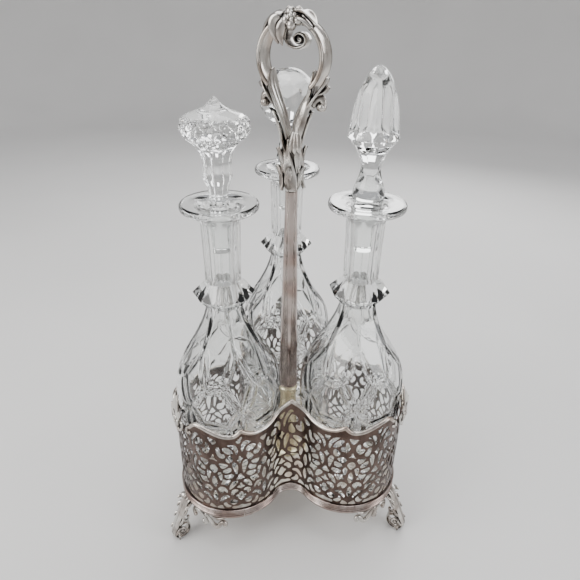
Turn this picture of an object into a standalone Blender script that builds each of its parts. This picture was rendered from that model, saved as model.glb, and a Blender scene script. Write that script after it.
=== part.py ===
"""Three-decanter stand: a trefoil silver-plated frame with a pierced gallery, scroll feet and a ring
handle on a centre column, holding three cut-glass decanters that lift out, each with its own stopper.

Z is up, the stand rests on z = 0, and the front valley between two lobes faces -Y.
Lengths are metres, written in millimetres times MM.
"""

import math

import bmesh
import bpy
from mathutils import Matrix, Vector

MM = 0.001
GAP = 0.3 * MM

# Trefoil plan, seen from above: three lobes joined by rounded valleys.
LOBE_PITCH = 60.3 * MM  # column axis to each lobe centre
LOBE_RADIUS = 47.0 * MM  # outer face of the gallery wall
VALLEY_CENTRE = 66.35 * MM  # column axis to the centre of each valley curve
WALL = 1.2 * MM
LOBE_ANGLES = {"left": 210, "right": 330, "back": 90}
VALLEY_ANGLES = {"front": 270, "rear_right": 30, "rear_left": 150}
LOBE_STEPS = 16  # facets along a lobe, and along half a valley
VALLEY_STEPS = 3

# Heights above the table.
TOTAL_HEIGHT = 437.5 * MM
BAND_BOTTOM = 45 * MM
BAND_TOP = 54.5 * MM
BAND_THICKNESS = 1.4 * MM
PLATE_TOP = 49.8 * MM
PLATE_THICKNESS = 2.0 * MM
VALLEY_PEAK = 150 * MM
RIM_RADIUS = 1.5 * MM
COLUMN_FOOT = 131.6 * MM  # where the socket ends and the tapered tube begins
BOSS_BOTTOM = 316 * MM
BOSS_TOP = 345 * MM
ROD_TOP = 338 * MM

# Feet, in the upright plane through each lobe's outermost line.
FOOT_REACH = 127 * MM  # column axis to the toe
FOOT_THICKNESS = 9 * MM
WING_RADIUS = 1.5 * MM

# Column, rod and handle.
ROD_RADIUS = 2.5 * MM
BORE_RADIUS = 2.9 * MM
COLUMN_RADIUS_BOTTOM = 8.6 * MM
COLUMN_RADIUS_TOP = 4.7 * MM
HANDLE_TURN = math.radians(-30)  # the loop's plane runs over the right-hand lobe
LOOP_CENTRE = 407.4 * MM
LOOP_RADIUS = 25 * MM
LOOP_THICKNESS = 3.4 * MM
LOOP_WIDTH = 17 * MM
LOOP_END = math.radians(47)  # the loop stops this far below the horizontal on each side

# Decanters: heights from the decanter's own base.
BOTTLE_STAND = PLATE_TOP + GAP
RING_HEIGHT = 196.8 * MM
RING_RADIUS = 23.7 * MM
LIP_HEIGHT = 268 * MM
LIP_RADIUS = 28 * MM
LIP_THICKNESS = 5.5 * MM
PLUG_LENGTH = 30 * MM
PLUG_TOP = 261.5 * MM  # just under the dished mouth
BOTTLE_STEPS = 20

# The column axis sits back from the origin, so that the origin is the middle of the footprint.
FRONT_REACH = LOBE_PITCH / 2 + LOBE_RADIUS + GAP + BAND_THICKNESS
AXIS_Y = (FRONT_REACH - FOOT_REACH) / 2


# ---------------------------------------------------------------- scene and materials


def clear_scene():
    for obj in list(bpy.data.objects):
        bpy.data.objects.remove(obj, do_unlink=True)


def new_collection(name):
    collection = bpy.data.collections.new(name)
    bpy.context.scene.collection.children.link(collection)
    return collection


def material(name, colour, roughness, metallic, transmission=0.0):
    made = bpy.data.materials.new(name)
    made.use_nodes = True
    shader = made.node_tree.nodes["Principled BSDF"]
    shader.inputs["Base Color"].default_value = (*colour, 1)
    shader.inputs["Roughness"].default_value = roughness
    shader.inputs["Metallic"].default_value = metallic
    shader.inputs["Transmission Weight"].default_value = transmission
    made.diffuse_color = (*colour, 1)
    return made


clear_scene()
PARTS = new_collection("decanter_stand")
SILVER = material("worn_silver_plate", (0.58, 0.53, 0.47), 0.3, 1.0)
CAST = material("cast_silver_plate", (0.50, 0.47, 0.43), 0.36, 1.0)
BRASS = material("brass_socket", (0.62, 0.53, 0.36), 0.35, 1.0)
STEEL = material("steel_rod", (0.45, 0.45, 0.46), 0.4, 1.0)
GLASS = material("cut_glass", (0.95, 0.97, 0.97), 0.03, 0.0, 1.0)


def empty(name, location=(0, 0, 0), turn=0.0, parent=None):
    made = bpy.data.objects.new(name, None)
    PARTS.objects.link(made)
    made.location = location
    made.rotation_euler = (0, 0, turn)
    made.parent = parent
    return made


AXIS = empty("column_axis", (0, AXIS_Y, 0))
LOBES = {
    side: empty(f"lobe_{side}", turn=math.radians(angle), parent=AXIS)
    for side, angle in LOBE_ANGLES.items()
}
VALLEYS = {
    side: empty(f"valley_{side}", turn=math.radians(angle), parent=AXIS)
    for side, angle in VALLEY_ANGLES.items()
}
HANDLE = empty("handle_plane", turn=HANDLE_TURN, parent=AXIS)


# ---------------------------------------------------------------- making solids


def add(name, data, finish, parent, location=(0, 0, 0), turn=(0, 0, 0)):
    obj = bpy.data.objects.new(name, data)
    PARTS.objects.link(obj)
    data.materials.append(finish)
    obj.parent = parent
    obj.location = location
    obj.rotation_euler = turn
    return obj


def turned(name, profile, finish, parent, location=(0, 0, 0), steps=16):
    """A lathe-turned solid. The profile is (radius, height) and runs down its outer side.

    It closes on itself, except along the axis, where two neighbouring points with no radius meet.
    """
    mesh = bpy.data.meshes.new(name)
    points = [(radius, 0, height) for radius, height in profile]
    following = points[1:] + points[:1]
    edges = [(i, (i + 1) % len(points)) for i in range(len(points)) if points[i][0] + following[i][0] > 0]
    mesh.from_pydata(points, edges, [])
    obj = add(name, mesh, finish, parent, location)
    screw = obj.modifiers.new("turn", "SCREW")
    screw.axis = "Z"
    screw.angle = math.tau
    screw.steps = screw.render_steps = steps
    screw.use_merge_vertices = True
    screw.merge_threshold = 0.01 * MM
    screw.use_smooth_shade = True
    return obj


def outline_curve(name, outlines, thickness):
    """A flat plate from closed outlines: the first is its edge, and the others are holes."""
    curve = bpy.data.curves.new(name, "CURVE")
    curve.dimensions = "2D"
    curve.fill_mode = "BOTH"
    curve.extrude = thickness / 2
    for outline in outlines:
        spline = curve.splines.new("POLY")
        spline.points.add(len(outline) - 1)
        for point, (x, y) in zip(spline.points, outline):
            point.co = (x, y, 0, 1)
        spline.use_cyclic_u = True
    return curve


def plate(name, outlines, thickness, finish, parent, location=(0, 0, 0), turn=(0, 0, 0)):
    return add(name, outline_curve(name, outlines, thickness), finish, parent, location, turn)


def tube(name, route, radius, finish, parent, taper=None, resolution=2):
    """A round bar along a route of points, with an optional list of radius factors."""
    curve = bpy.data.curves.new(name, "CURVE")
    curve.dimensions = "3D"
    curve.bevel_depth = radius
    curve.bevel_resolution = resolution
    curve.use_fill_caps = True
    spline = curve.splines.new("POLY")
    spline.points.add(len(route) - 1)
    for i, (point, place) in enumerate(zip(spline.points, route)):
        point.co = (*place, 1)
        point.radius = taper[i] if taper else 1
    return add(name, curve, finish, parent)


def smooth(points, steps):
    """A smooth curve through the points (Catmull-Rom), with this many steps between each two."""
    places = [Vector(p) for p in points]
    places = [2 * places[0] - places[1], *places, 2 * places[-1] - places[-2]]
    found = []
    for a, b, c, d in zip(places, places[1:], places[2:], places[3:]):
        for i in range(steps):
            t = i / steps
            found.append(
                0.5 * (2 * b + (c - a) * t + (2 * a - 5 * b + 4 * c - d) * t**2
                       + (3 * b - a - 3 * c + d) * t**3)
            )
    return [*found, places[-2]]


# ---------------------------------------------------------------- the trefoil's outline

TO_VALLEY = Vector((LOBE_PITCH, 0)) - VALLEY_CENTRE * Vector((math.cos(math.pi / 3), math.sin(math.pi / 3)))
VALLEY_RADIUS = TO_VALLEY.length - LOBE_RADIUS
VALLEY_START = math.atan2(TO_VALLEY.y, TO_VALLEY.x)  # on the valley's circle, where it leaves the lobe
LOBE_TURN = VALLEY_START + math.pi  # on the lobe's circle, at the same point
VALLEY_TURN = VALLEY_START + math.tau - math.radians(240)
LOBE_LENGTH = LOBE_RADIUS * LOBE_TURN  # along the wall, from a lobe's outermost line
HALF_LENGTH = LOBE_LENGTH + VALLEY_RADIUS * VALLEY_TURN  # to the middle of the valley


def wall_point(s, offset=0.0):
    """Plan position, from a lobe's own empty, at length s along the wall and offset outside its face."""
    side = -1 if s < 0 else 1
    s = abs(s)
    if s <= LOBE_LENGTH:
        angle = s / LOBE_RADIUS
        reach = LOBE_RADIUS + offset
        x = LOBE_PITCH + reach * math.cos(angle)
        y = reach * math.sin(angle)
    else:
        angle = VALLEY_START - (s - LOBE_LENGTH) / VALLEY_RADIUS
        reach = VALLEY_RADIUS - offset
        x = VALLEY_CENTRE * math.cos(math.pi / 3) + reach * math.cos(angle)
        y = VALLEY_CENTRE * math.sin(math.pi / 3) + reach * math.sin(angle)
    return Vector((x, side * y))


def valley_point(s, offset=0.0):
    """The same, from a valley's own empty, with s counted from the middle of the valley."""
    sign = -1 if s < 0 else 1
    turn = Matrix.Rotation(sign * math.pi / 3, 2)
    return turn @ wall_point(sign * (abs(s) - HALF_LENGTH), offset)


def stations(start, end):
    """Lengths along the wall, from a lobe's outermost line, at which every wall piece bends."""
    half = [LOBE_LENGTH * i / (LOBE_STEPS // 2) for i in range(LOBE_STEPS // 2 + 1)]
    half += [
        LOBE_LENGTH + (HALF_LENGTH - LOBE_LENGTH) * (i + 1) / VALLEY_STEPS
        for i in range(VALLEY_STEPS)
    ]
    sector = sorted({-s for s in half} | set(half))
    both = sector + [s + 2 * HALF_LENGTH for s in sector[1:]]
    inside = [s for s in both if start + MM / 2 < s < end - MM / 2]
    return [start, *inside, end]


def round_lobe(s, offset):
    """wall_point carried on into the next lobe, for s past the middle of the valley."""
    if s <= HALF_LENGTH:
        return wall_point(s, offset)
    return Matrix.Rotation(math.tau / 3, 2) @ wall_point(s - 2 * HALF_LENGTH, offset)


def rim_height(s):
    """Height of the wall's edge at length s from the middle of a valley: a peak, a bowl, a cusp, a crest."""
    a = abs(s) / MM
    if a < 32:
        return (137.5 + 12.5 * (1 - a / 32) ** 2.1) * MM
    if a < 50.5:
        return (137.5 + 6.7 * ((a - 32) / 18.5) ** 2.4) * MM
    if a < 59:
        return (138.6 + 5.6 * (1 - (a - 50.5) / 8.5) ** 2) * MM
    if a < 88:
        return (138.6 + 8 * (0.5 - 0.5 * math.cos(math.pi * (a - 59) / 29))) * MM
    if a < 98:
        return (139 + 7.6 * (0.5 + 0.5 * math.cos(math.pi * (a - 88) / 10))) * MM
    return 139 * MM


EDGE_TURNS = {0, 50.5 * MM, -50.5 * MM, 59 * MM, -59 * MM, 88 * MM, -88 * MM, 97 * MM, -97 * MM}
PANEL_BENDS = [s - HALF_LENGTH for s in stations(GAP / 2, 2 * HALF_LENGTH - GAP / 2)]
EDGE = sorted(s for s in {*PANEL_BENDS, *EDGE_TURNS} if all(s == t or abs(s - t) > MM for t in EDGE_TURNS))


def clear_of_edge(i):
    """Height a wire's centre needs above the wall's edge at EDGE[i], allowing for the slope there."""
    near = [(EDGE[j], EDGE[j + 1]) for j in (i - 1, i) if 0 <= j < len(EDGE) - 1]
    steepest = max(abs(rim_height(b) - rim_height(a)) / (b - a) for a, b in near)
    return (RIM_RADIUS + GAP) * math.hypot(1, steepest)


# ---------------------------------------------------------------- stand


def base_plate():
    outline = []
    for angle in LOBE_ANGLES.values():
        turn = Matrix.Rotation(math.radians(angle), 2)
        outline += [turn @ wall_point(s) for s in stations(-HALF_LENGTH, HALF_LENGTH)[:-1]]
    turns = [math.tau * i / 24 for i in range(24)]
    hole = [(BORE_RADIUS * math.cos(a), BORE_RADIUS * math.sin(a)) for a in turns]
    middle = PLATE_TOP - PLATE_THICKNESS / 2
    plate("base_plate", [outline, hole], PLATE_THICKNESS, SILVER, AXIS, (0, 0, middle))


def base_bands():
    """Each lobe has a strip round its foot, and a second one through the valley that follows it."""
    seam_before = -46 * MM
    seam_after = 60 * MM
    spans = {
        "foot": (seam_before + GAP / 2, seam_after - GAP / 2),
        "valley": (seam_after + GAP / 2, 2 * HALF_LENGTH + seam_before - GAP / 2),
    }
    for side, lobe in LOBES.items():
        for kind, (start, end) in spans.items():
            along = stations(start, end)
            outer = [round_lobe(s, GAP + BAND_THICKNESS) for s in along]
            inner = [round_lobe(s, GAP) for s in reversed(along)]
            height = BAND_TOP - BAND_BOTTOM
            middle = BAND_BOTTOM + height / 2
            plate(f"base_band_{kind}_{side}", [outer + inner], height, SILVER, lobe, (0, 0, middle))


REPEATS = 5  # of the pierced pattern, along each panel
LEAF_HOLES = [  # along the wall and up it from the repeat's stem, then length, width and lean
    (0.0, 34, 17, 5.5, 0),
    (12.5, 20, 17, 7.0, 35),
    (-12.5, 20, 17, 7.0, -35),
    (11.0, 58, 18, 7.0, -20),
    (-11.0, 58, 18, 7.0, 20),
]


def leaf_outline(centre, length, width, lean):
    """A pointed leaf: six points, two at its tips and two along each side."""
    across = [(0, 0.5), (0.5, 0.18), (0.5, -0.18), (0, -0.5), (-0.5, -0.18), (-0.5, 0.18)]
    turn = Matrix.Rotation(math.radians(lean), 2)
    return [Vector(centre) + turn @ Vector((x * width, y * length)) for x, y in across]


def gallery_panels():
    """A flat pierced sheet, cut across at every bend and then wrapped round the trefoil."""
    bottom = PLATE_TOP + GAP
    edge = [(s, bottom) for s in PANEL_BENDS]
    edge += [(s, rim_height(s)) for s in reversed(EDGE)]
    pitch = (PANEL_BENDS[-1] - PANEL_BENDS[0]) / REPEATS
    holes = [
        leaf_outline(
            ((i - (REPEATS - 1) / 2) * pitch + x * MM, bottom + y * MM), length * MM, width * MM, lean
        )
        for i in range(REPEATS)
        for x, y, length, width, lean in LEAF_HOLES
    ]
    flat = bpy.data.objects.new("flat_panel", outline_curve("flat_panel", [edge, *holes], WALL))
    PARTS.objects.link(flat)
    bpy.context.view_layer.update()
    evaluated = flat.evaluated_get(bpy.context.evaluated_depsgraph_get())
    sheet = bmesh.new()
    sheet.from_mesh(bpy.data.meshes.new_from_object(evaluated))
    bpy.data.objects.remove(flat)
    bmesh.ops.remove_doubles(sheet, verts=sheet.verts, dist=0.01 * MM)
    for s in PANEL_BENDS[1:-1]:
        everything = [*sheet.verts, *sheet.edges, *sheet.faces]
        bmesh.ops.bisect_plane(
            sheet, geom=everything, plane_co=(s, 0, 0), plane_no=(1, 0, 0), dist=0.001 * MM
        )
    bmesh.ops.triangulate(sheet, faces=sheet.faces)
    for vert in sheet.verts:
        s, height, depth = vert.co
        x, y = valley_point(s, depth - WALL / 2)
        vert.co = (x, y, height)
    bmesh.ops.recalc_face_normals(sheet, faces=sheet.faces)
    for side, valley in VALLEYS.items():
        mesh = bpy.data.meshes.new(f"gallery_{side}")
        sheet.to_mesh(mesh)
        add(f"gallery_{side}", mesh, SILVER, valley)
    sheet.free()


def rims():
    """A round wire along each panel's edge, from one side ornament to the next."""
    route = [
        (*valley_point(s, -WALL / 2), rim_height(s) + clear_of_edge(i))
        for i, s in enumerate(EDGE)
        if abs(s) <= 97 * MM
    ]
    for side, valley in VALLEYS.items():
        tube(f"rim_{side}", route, RIM_RADIUS, SILVER, valley, resolution=1)


def side_ornaments():
    """A leaf over a bunch of berries, standing on each lobe's outermost line."""
    half = [(0, 127), (6, 129), (9, 134), (13, 139), (12, 146), (8, 150), (9, 156), (6, 162), (0, 165)]
    outline = [(x * MM, y * MM) for x, y in half] + [(-x * MM, y * MM) for x, y in half[-2:0:-1]]
    thickness = 2.6 * MM
    reach = LOBE_PITCH + LOBE_RADIUS + GAP + thickness / 2
    for side, lobe in LOBES.items():
        upright = (math.pi / 2, 0, math.pi / 2)
        plate(f"side_ornament_{side}", [outline], thickness, CAST, lobe, (reach, 0, 0), upright)


def feet():
    """A leg that sweeps out from under the band and rolls into a scroll toe."""
    top = BAND_BOTTOM - GAP
    leg_out = smooth([(111.5 * MM, top), (114 * MM, 40 * MM), (120 * MM, 31 * MM), (125.5 * MM, 20 * MM),
                      (FOOT_REACH, 11.5 * MM), (124 * MM, 4 * MM), (121 * MM, 0)], 2)
    leg_in = smooth([(115 * MM, 0), (110.5 * MM, 4 * MM), (110 * MM, 11 * MM), (114 * MM, 17 * MM),
                     (111 * MM, 27 * MM), (104 * MM, 38 * MM), (102 * MM, top)], 2)
    outline = [tuple(p) for p in leg_out + leg_in]
    for side, lobe in LOBES.items():
        plate(f"foot_{side}", [outline], FOOT_THICKNESS, CAST, lobe, (0, 0, 0), (math.pi / 2, 0, 0))


def foot_wings():
    """Two linked C-scrolls that hang under the band on each side of a foot."""
    route = [(7.5, 35), (9.5, 40), (14, 42.6), (19, 41.5), (23, 36.5), (25.5, 31), (28.5, 34), (30.5, 40.5),
             (33.5, 36), (36, 30.5), (40, 30), (43, 34), (43.5, 38.5)]
    for side, lobe in LOBES.items():
        for hand, sign in (("fore", 1), ("aft", -1)):
            points = [(*wall_point(sign * s * MM, -1.5 * MM), z * MM) for s, z in route]
            tube(f"foot_scroll_{side}_{hand}", points, WING_RADIUS, CAST, lobe, resolution=1)


def column():
    """Socket, tapered tube and the rod that pulls the handle down on to the base with a nut."""
    turned("column_socket", [
        (7.6 * MM, COLUMN_FOOT - GAP), (7.8 * MM, 110 * MM), (9.5 * MM, 70 * MM), (11 * MM, 54 * MM),
        (15 * MM, 52.5 * MM), (15 * MM, PLATE_TOP + GAP), (BORE_RADIUS, PLATE_TOP + GAP),
        (BORE_RADIUS, COLUMN_FOOT - GAP),
    ], BRASS, AXIS)
    turned("column_tube", [
        (COLUMN_RADIUS_TOP, BOSS_BOTTOM - GAP), (COLUMN_RADIUS_BOTTOM, COLUMN_FOOT),
        (BORE_RADIUS, COLUMN_FOOT), (BORE_RADIUS, BOSS_BOTTOM - GAP),
    ], SILVER, AXIS)
    rod_end = 41 * MM
    rod = bmesh.new()
    bmesh.ops.create_cone(
        rod, cap_ends=True, segments=16, radius1=ROD_RADIUS, radius2=ROD_RADIUS, depth=ROD_TOP - rod_end
    )
    mesh = bpy.data.meshes.new("centre_rod")
    rod.to_mesh(mesh)
    rod.free()
    add("centre_rod", mesh, STEEL, AXIS, (0, 0, (ROD_TOP + rod_end) / 2))
    washer_top = PLATE_TOP - PLATE_THICKNESS - GAP
    washer_bottom = washer_top - 1.2 * MM
    turned("base_washer", [
        (9 * MM, washer_top), (9 * MM, washer_bottom),
        (BORE_RADIUS, washer_bottom), (BORE_RADIUS, washer_top),
    ], STEEL, AXIS)
    nut_top = washer_bottom - GAP
    turned("base_nut", [
        (6 * MM, nut_top), (6 * MM, nut_top - 4 * MM),
        (BORE_RADIUS, nut_top - 4 * MM), (BORE_RADIUS, nut_top),
    ], STEEL, AXIS, steps=6)


# ---------------------------------------------------------------- handle


def handle():
    turned("handle_boss", [
        (0, BOSS_TOP), (7.5 * MM, BOSS_TOP), (8.2 * MM, 338 * MM), (6.6 * MM, 330 * MM), (7.6 * MM, 321 * MM),
        (5.2 * MM, BOSS_BOTTOM), (BORE_RADIUS, BOSS_BOTTOM), (BORE_RADIUS, ROD_TOP + GAP), (0, ROD_TOP + GAP),
    ], CAST, HANDLE)

    # Two stems part from the boss like a wishbone and carry the loop's ends.
    for side, sign in (("left", -1), ("right", 1)):
        stem = smooth([
            (sign * 4.1 * MM, 0, BOSS_TOP + GAP), (sign * 3.9 * MM, 0, 358 * MM),
            (sign * 6.5 * MM, 0, 371 * MM),
            (sign * 12 * MM, 0, 381 * MM), (sign * 15.3 * MM, 0, 386 * MM),
        ], 3)
        taper = [1 - 0.15 * i / (len(stem) - 1) for i in range(len(stem))]
        tube(f"handle_stem_{side}", stem, 3.6 * MM, CAST, HANDLE, taper=taper)

    # The loop is a flat strap, bent round, open at the bottom.
    steps = 20
    start = -LOOP_END
    end = math.pi + LOOP_END
    angles = [start + (end - start) * i / steps for i in range(steps + 1)]
    outer = [(LOOP_RADIUS * math.cos(a), LOOP_RADIUS * math.sin(a)) for a in angles]
    within = LOOP_RADIUS - LOOP_THICKNESS
    inner = [(within * math.cos(a), within * math.sin(a)) for a in reversed(angles)]
    upright = (math.pi / 2, 0, 0)
    plate("handle_loop", [outer + inner], LOOP_WIDTH, SILVER, HANDLE, (0, 0, LOOP_CENTRE), upright)

    # A rose on top, between two leaves, and a curled frond inside the loop.
    crown = LOOP_CENTRE + LOOP_RADIUS + GAP
    turned("handle_rose", [
        (0, TOTAL_HEIGHT), (3.5 * MM, TOTAL_HEIGHT - 0.4 * MM), (6.2 * MM, TOTAL_HEIGHT - 1.6 * MM),
        (6.5 * MM, crown + 0.8 * MM), (5 * MM, crown), (0, crown),
    ], CAST, HANDLE, (0, 0, 0), steps=12)
    leaf = LOOP_RADIUS + GAP
    for side, sign in (("left", -1), ("right", 1)):
        turns = [math.radians(90 - sign * a) for a in (20, 27, 34, 41, 48)]
        low = [(leaf * math.cos(a), leaf * math.sin(a)) for a in turns]
        tops = [leaf + thickness * MM for thickness in (3.2, 3.6, 3.0, 2.2, 1.2)]
        high = [(reach * math.cos(a), reach * math.sin(a)) for a, reach in zip(turns, tops)]
        outline = low + high[::-1]
        plate(f"handle_leaf_{side}", [outline], 11 * MM, CAST, HANDLE, (0, 0, LOOP_CENTRE), upright)
    frond = smooth([(-3, 427.9), (-3.5, 421), (-1.5, 415.5), (3.5, 413.8), (7.5, 416.5), (6.5, 420.5)], 3)
    frond = [(x * MM, 0, z * MM) for x, z in frond]
    tube("handle_frond", frond, 1.9 * MM, CAST, HANDLE)

    # A leaf bud springs from each stem, just under the loop's end.
    for side, sign in (("left", -1), ("right", 1)):
        bud = smooth([(sign * 17.6, 380.2), (sign * 21, 381.5), (sign * 24.5, 384.5), (sign * 26, 388)], 3)
        bud = [(x * MM, 0, z * MM) for x, z in bud]
        taper = [0.75 + 0.25 * math.sin(math.pi * i / (len(bud) - 1)) for i in range(len(bud))]
        tube(f"handle_bud_{side}", bud, 2.4 * MM, CAST, HANDLE, taper=taper)


# ---------------------------------------------------------------- decanters and stoppers


def decanter(side):
    """A hollow cut-glass decanter. Its origin is on its own axis, on the base plate."""
    neck_top = LIP_HEIGHT - LIP_THICKNESS - 3 * MM
    outside = [
        (LIP_RADIUS - 0.8 * MM, LIP_HEIGHT), (LIP_RADIUS, LIP_HEIGHT - 1.2 * MM),
        (LIP_RADIUS - 1 * MM, LIP_HEIGHT - LIP_THICKNESS + 1 * MM),
        (17 * MM, LIP_HEIGHT - LIP_THICKNESS - 0.6 * MM),
        (14.4 * MM, neck_top), (13.5 * MM, RING_HEIGHT + 10 * MM), (RING_RADIUS, RING_HEIGHT + 1 * MM),
        (RING_RADIUS - 1 * MM, RING_HEIGHT - 1.5 * MM), (14.8 * MM, RING_HEIGHT - 10.5 * MM),
        (18.8 * MM, 170 * MM), (25.3 * MM, 155 * MM), (33.7 * MM, 140 * MM), (40.6 * MM, 126 * MM),
        (43.5 * MM, 112 * MM), (44 * MM, 95 * MM), (42.8 * MM, 78 * MM), (40.8 * MM, 50 * MM),
        (38.2 * MM, 10 * MM), (36.5 * MM, 0),
    ]
    inside = [
        (33 * MM, 8 * MM), (35.5 * MM, 14 * MM), (37.5 * MM, 50 * MM), (40.2 * MM, 95 * MM),
        (39.4 * MM, 112 * MM),
        (36.2 * MM, 126 * MM), (29 * MM, 141 * MM), (20.5 * MM, 156 * MM), (13.5 * MM, 171 * MM),
        (9.6 * MM, 184 * MM), (8.6 * MM, 200 * MM), (8.6 * MM, PLUG_TOP - PLUG_LENGTH),
        (9.6 * MM, PLUG_TOP), (12.5 * MM, LIP_HEIGHT - 2.4 * MM), (18 * MM, LIP_HEIGHT),
    ]
    profile = [*outside, (0, 0), (0, 8 * MM), *inside]
    turned(f"decanter_{side}", profile, GLASS, LOBES[side], (LOBE_PITCH, 0, BOTTLE_STAND), BOTTLE_STEPS)


def plug(top_radius=9.3, bottom_radius=8.2):
    """The ground plug of every stopper: (radius, height) down its side, from the mouth."""
    bottom = PLUG_TOP - PLUG_LENGTH
    return [(top_radius * MM, PLUG_TOP), (bottom_radius * MM, bottom), (0, bottom)]


def stoppers():
    heads = {
        "stopper_mushroom": ("left", [
            (0, 337), (1.2, 335.6), (5, 331.5), (12, 328), (19.5, 324.5), (23.5, 319.5), (21, 312.5),
            (14.5, 307.5),
            (10.8, 302), (9.4, 295), (9.2, 289), (9.8, 285.5), (7.2, 279.5), (6.4, 274), (6.4, 265),
        ]),
        "stopper_spire": ("right", [
            (0, 356), (3, 354.6), (6.6, 350.5), (10.5, 343.5), (13.8, 334.5), (16.2, 322), (17.1, 312.5),
            (15, 308),
            (9.6, 302), (7.3, 296), (6.6, 290), (8.2, 284), (11, 275.5), (10.9, 269), (9.6, 264),
        ]),
        "stopper_ball": ("back", [
            (0, 346), (9.5, 344.3), (17.5, 339.5), (22, 332.5), (23.7, 324), (22.5, 316.5), (18.5, 310.5),
            (11, 304), (7.2, 298), (6.6, 290), (7.4, 282), (9.4, 274), (9.2, 265),
        ]),
    }
    for name, (side, head) in heads.items():
        profile = [(radius * MM, height * MM) for radius, height in head] + plug()
        turned(name, profile, GLASS, LOBES[side], (LOBE_PITCH, 0, BOTTLE_STAND), steps=BOTTLE_STEPS)


base_plate()
base_bands()
gallery_panels()
rims()
side_ornaments()
feet()
foot_wings()
column()
handle()
for place in LOBE_ANGLES:
    decanter(place)
stoppers()
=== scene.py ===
"""The looks of the three-decanter stand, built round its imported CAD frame.

Lengths are millimetres until a mesh is made. Every piece is shaped in the column's own upright frame,
or in that of a lobe, a valley, a decanter or the handle.
"""

import math

import bmesh
import bpy
from mathutils import Matrix, Vector
from mathutils.geometry import delaunay_2d_cdt


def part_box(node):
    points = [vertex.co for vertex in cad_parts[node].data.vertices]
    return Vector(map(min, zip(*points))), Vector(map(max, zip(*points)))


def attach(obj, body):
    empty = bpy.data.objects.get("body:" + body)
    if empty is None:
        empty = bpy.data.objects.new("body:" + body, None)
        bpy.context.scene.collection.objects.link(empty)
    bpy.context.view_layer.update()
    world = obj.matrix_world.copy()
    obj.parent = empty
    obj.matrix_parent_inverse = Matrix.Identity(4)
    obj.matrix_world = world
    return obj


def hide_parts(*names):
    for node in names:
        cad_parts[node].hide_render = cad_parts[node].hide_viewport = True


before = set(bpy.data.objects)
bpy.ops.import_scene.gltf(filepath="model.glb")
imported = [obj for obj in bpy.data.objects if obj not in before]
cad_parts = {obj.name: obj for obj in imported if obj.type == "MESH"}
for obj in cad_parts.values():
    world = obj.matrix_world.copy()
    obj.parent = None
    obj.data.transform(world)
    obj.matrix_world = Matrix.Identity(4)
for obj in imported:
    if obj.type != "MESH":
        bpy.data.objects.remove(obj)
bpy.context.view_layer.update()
MM = 0.001


# ---- places, from the frame


def box_mm(node):
    low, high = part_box(node)
    return low / MM, high / MM


def middle(node):
    low, high = box_mm(node)
    return (low + high) / 2


COLUMN = middle("column_tube").to_2d()
SIDES = ("left", "right", "back")
STOPPERS = {"left": "stopper_mushroom", "right": "stopper_spire", "back": "stopper_ball"}
PANELS = {"front": 270, "rear_right": 30, "rear_left": 150}
LOBE_VECTORS = {side: middle(f"decanter_{side}").to_2d() - COLUMN for side in SIDES}
LOBE_PITCH = LOBE_VECTORS["back"].length
LOBE_RADIUS = COLUMN.y - box_mm("gallery_front")[0].y - LOBE_PITCH / 2
GALLERY_FOOT = box_mm("gallery_front")[0].z
BOTTLE_BASE = box_mm("decanter_left")[0].z
BAND_BOTTOM = box_mm("base_band_foot_back")[0].z
BAND_HEIGHT = box_mm("base_band_foot_back")[1].z - BAND_BOTTOM
FOOT_REACH = box_mm("foot_back")[1].y - COLUMN.y
SIDE_REACH = box_mm("foot_right")[1].x - COLUMN.x
TOP = box_mm("handle_rose")[1].z

VALLEY_CENTRE = 66.35  # column axis to the centre of a valley's curve
WALL = 1.2
SHEET_THICKNESS = 0.6
SEAM_BAR = 1.0  # metal left along a panel's ends
SAW_CUT = 0.35  # the saw leaves every hole this much larger than its drawn line
SOLDER = 0.3  # gap between the pieces that touch


def placed(degrees=0.0):
    """From a frame turned about the column's axis to the world, both in millimetres."""
    return Matrix.Translation((*COLUMN, 0)) @ Matrix.Rotation(math.radians(degrees), 4, "Z")


WORLD = placed()
LOBES = {side: placed(math.degrees(math.atan2(v.y, v.x))) for side, v in LOBE_VECTORS.items()}
VALLEYS = {name: placed(angle) for name, angle in PANELS.items()}
HANDLE = placed(-30)
BOTTLE_TURNS = {"left": 257, "right": 237, "back": 250}  # a decanter's middle panel faces this way


def bottle_place(side):
    centre = COLUMN + LOBE_VECTORS[side]
    turn = Matrix.Rotation(math.radians(BOTTLE_TURNS[side]), 4, "Z")
    return Matrix.Translation((*centre, BOTTLE_BASE)) @ turn


# ---- curves and sections


def smooth(points, steps, closed=False):
    """A Catmull-Rom curve through the points, with this many steps between each two."""
    places = [Vector(p) for p in points]
    if closed:
        places = [places[-1], *places, places[0], places[1]]
    else:
        places = [2 * places[0] - places[1], *places, 2 * places[-1] - places[-2]]
    found = []
    for a, b, c, d in zip(places, places[1:], places[2:], places[3:]):
        for i in range(steps):
            t = i / steps
            found.append(
                0.5 * (2 * b + (c - a) * t + (2 * a - 5 * b + 4 * c - d) * t**2
                       + (3 * b - a - 3 * c + d) * t**3)
            )
    return found if closed else [*found, places[-2]]


def mix(a, b, t):
    return a + (b - a) * t


def ease(t):
    t = min(1, max(0, t))
    return t * t * (3 - 2 * t)


def ring_of(radius, count=14, squash=1.0):
    """A round or oval section."""
    turns = [math.tau * i / count for i in range(count)]
    return [(radius * math.cos(a), radius * squash * math.sin(a)) for a in turns]


def leaf_section(width, thickness, curl, ribs=0.0, count=24):
    """A leaf's section: thin edges that curl to one side, a fuller middle, and fine ribs along it."""
    found = []
    for i in range(count):
        a = math.tau * i / count
        across = math.cos(a)
        rib = ribs * math.cos(across * 9) if math.sin(a) > 0 else 0
        found.append((width * across, thickness * math.sin(a) + curl * width * across**2 + rib))
    return found


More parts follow.
